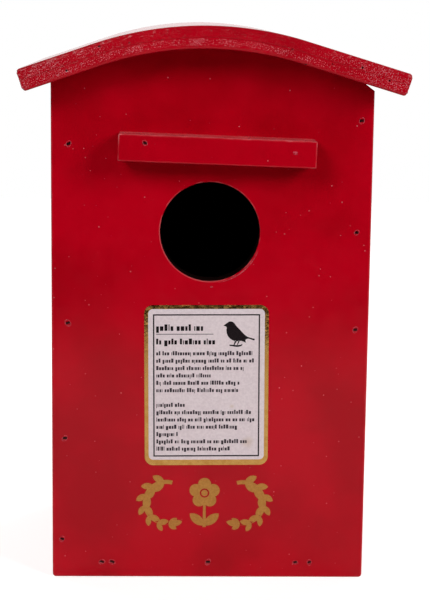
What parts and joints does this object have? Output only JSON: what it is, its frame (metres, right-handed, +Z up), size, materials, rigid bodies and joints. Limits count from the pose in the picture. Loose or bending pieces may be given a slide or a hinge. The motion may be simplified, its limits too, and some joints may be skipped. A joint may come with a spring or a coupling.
{
  "type": "birdhouse",
  "caption": "Red wooden nest box shaped like a pillar box: arched laminated roof, hood ledge over a round entrance, front notice, hinged clean-out flap and keyhole hanger at the back.",
  "frame": {"origin": "centre of the underside of the case, midway between its front and back faces", "axes": "+Z up, -Y out of the front with the entrance, +X to the right as seen from the front"},
  "size_m": [0.1711, 0.155, 0.254],
  "materials": {
    "red_painted_pine": "semi-gloss brushed paint",
    "red_painted_plywood": "semi-gloss paint over ply",
    "gold_foil": "metallised foil",
    "printed_paper": "matt printed",
    "gold_transfer": "satin metallic ink",
    "painted_over_steel": "paint over dull steel",
    "zinc_plated_steel": "bright zinc",
    "lacquered_brass": "satin"
  },
  "bodies": {
    "house": {"front_panel": "red_painted_pine", "back_panel": "red_painted_pine", "left_side": "red_painted_pine", "right_side": "red_painted_pine", "floor_board": "red_painted_pine", "roof_inner_sheet": "red_painted_plywood", "roof_outer_sheet": "red_painted_plywood", "hood_ledge": "red_painted_pine", "notice_foil": "gold_foil", "notice_sheet": "printed_paper", "emblem_left_sprig": "gold_transfer", "emblem_right_sprig": "gold_transfer", "emblem_blossom": "gold_transfer", "front_side_nails": "painted_over_steel", "front_floor_nails": "painted_over_steel", "ledge_nails": "painted_over_steel", "back_nails": "painted_over_steel", "side_floor_nails": "painted_over_steel", "roof_nails": "painted_over_steel", "catch_washer": "lacquered_brass", "catch_screw": "lacquered_brass", "hanger_plate": "zinc_plated_steel", "hanger_screws": "zinc_plated_steel", "hinge_board_screws": "lacquered_brass", "left_hinge_board_leaf": "lacquered_brass", "left_hinge_pin": "lacquered_brass", "right_hinge_board_leaf": "lacquered_brass", "right_hinge_pin": "lacquered_brass"},
    "flap": {"cleanout_flap": "red_painted_pine", "hinge_flap_screws": "lacquered_brass", "left_hinge_flap_leaf": "lacquered_brass", "right_hinge_flap_leaf": "lacquered_brass"},
    "catch": {"turn_catch": "lacquered_brass"}
  },
  "joints": [
    {"name": "flap_swing", "type": "hinge", "parent": "house", "child": "flap", "pos_m": [0, 0.0671, 0.1136], "axis": [1, 0, 0], "range_deg": [0, 110]},
    {"name": "catch_turn", "type": "hinge", "parent": "house", "child": "catch", "pos_m": [0, 0.06635, 0.0115], "axis": [0, -1, 0], "range_deg": [0, 180]}
  ]
}
